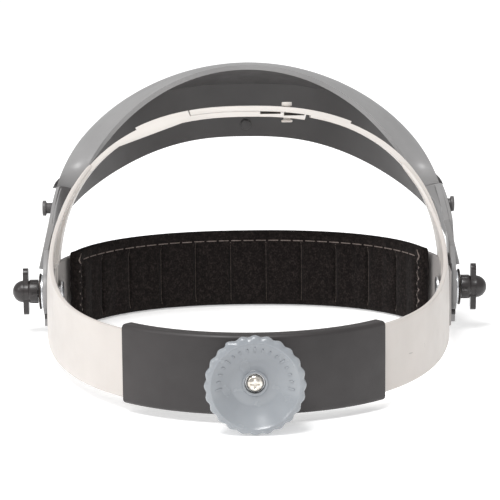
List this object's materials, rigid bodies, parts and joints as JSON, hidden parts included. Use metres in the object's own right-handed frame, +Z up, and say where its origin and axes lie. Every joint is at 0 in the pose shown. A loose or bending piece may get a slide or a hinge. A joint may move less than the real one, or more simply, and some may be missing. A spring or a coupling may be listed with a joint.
{
  "type": "face shield headgear",
  "caption": "Adjustable headgear for a clip-on face visor: ratchet headband, strap over the head, and a tilting brow shell with studs for a window.",
  "frame": {"origin": "on the surface it stands on, under the middle of the resting object", "axes": "+Z up when worn, +Y towards the wearer's face, +X towards the wearer's right"},
  "size_m": [0.2064, 0.2884, 0.1102],
  "materials": {
    "band_plastic": "moulded, satin",
    "strap_plastic": "moulded, satin",
    "sweat_fabric": "brushed fleece, pleated",
    "shell_plastic": "fine moulded grain",
    "cover_plastic": "fine moulded grain",
    "knob_plastic": "moulded, semi gloss",
    "black_plastic": "moulded, satin",
    "zinc_steel": "zinc plated",
    "black_steel": "black oxide",
    "nickel_screw": "nickel plated"
  },
  "bodies": {
    "headband": {"headband_front": "band_plastic", "rear_strap_left": "band_plastic", "rear_strap_right": "band_plastic", "sweatband": "sweat_fabric", "crown_strap_left": "strap_plastic", "crown_strap_right": "strap_plastic", "friction_plate_left": "black_plastic", "friction_plate_right": "black_plastic", "pivot_bolt_left": "zinc_steel", "pivot_bolt_right": "zinc_steel", "flat_washer_left": "zinc_steel", "flat_washer_right": "zinc_steel", "spring_washer_left": "black_steel", "spring_washer_right": "black_steel"},
    "strap_top": {"strap_peg": "strap_plastic"},
    "crown": {"crown_shell": "shell_plastic", "crown_arm_left": "shell_plastic", "crown_arm_right": "shell_plastic", "window_stud_left": "shell_plastic", "window_stud_right": "shell_plastic", "window_stud_centre": "shell_plastic"},
    "wing_left": {"wing_knob_left": "black_plastic"},
    "wing_right": {"wing_knob_right": "black_plastic"},
    "ratchet": {"ratchet_cover": "cover_plastic", "ratchet_back": "cover_plastic", "ratchet_ring": "cover_plastic"},
    "rack_l": {"rack_left": "band_plastic"},
    "rack_r": {"rack_right": "band_plastic"},
    "knob": {"ratchet_knob": "knob_plastic", "pinion_gear": "knob_plastic", "pawl_disc": "knob_plastic", "knob_washer": "zinc_steel", "knob_screw": "nickel_screw"}
  },
  "joints": [
    {"name": "crown_tilt", "type": "hinge", "parent": "headband", "child": "crown", "pos_m": [0, 0.0218, 0.0192], "axis": [1, 0, 0], "range_deg": [-28, 52]},
    {"name": "wing_left_turn", "type": "hinge", "parent": "headband", "child": "wing_left", "pos_m": [-0.095, 0.0218, 0.0192], "axis": [1, 0, 0], "continuous": true},
    {"name": "wing_right_turn", "type": "hinge", "parent": "headband", "child": "wing_right", "pos_m": [0.095, 0.0218, 0.0192], "axis": [1, 0, 0], "continuous": true},
    {"name": "crown_height", "type": "slide", "parent": "headband", "child": "strap_top", "axis": [0, 0, 1], "range_m": [-0.012, 0.006], "deforming": ["crown_strap_left", "crown_strap_right"]},
    {"name": "ratchet_slide", "type": "slide", "parent": "headband", "child": "ratchet", "axis": [0, 1, 0], "range_m": [-0.022, 0.022], "deforming": ["rear_strap_left", "rear_strap_right"]},
    {"name": "knob_turn", "type": "hinge", "parent": "ratchet", "child": "knob", "pos_m": [0, -0.1332, 0.0192], "axis": [0, 1, 0], "range_deg": [-229.5, 229.5]},
    {"name": "rack_left_feed", "type": "hinge", "parent": "ratchet", "child": "rack_l", "pos_m": [0, -0.0547, 0.0192], "axis": [0, 0, 1], "range_deg": [-15, 15]},
    {"name": "rack_right_feed", "type": "hinge", "parent": "ratchet", "child": "rack_r", "pos_m": [0, -0.0547, 0.0192], "axis": [0, 0, 1], "range_deg": [-15, 15]}
  ],
  "couplings": [
    {"joint": "knob_turn", "follows": "ratchet_slide", "rad_per_m": 181.82},
    {"joint": "rack_left_feed", "follows": "ratchet_slide", "rad_per_m": 11.747},
    {"joint": "rack_right_feed", "follows": "ratchet_slide", "rad_per_m": -11.747}
  ]
}
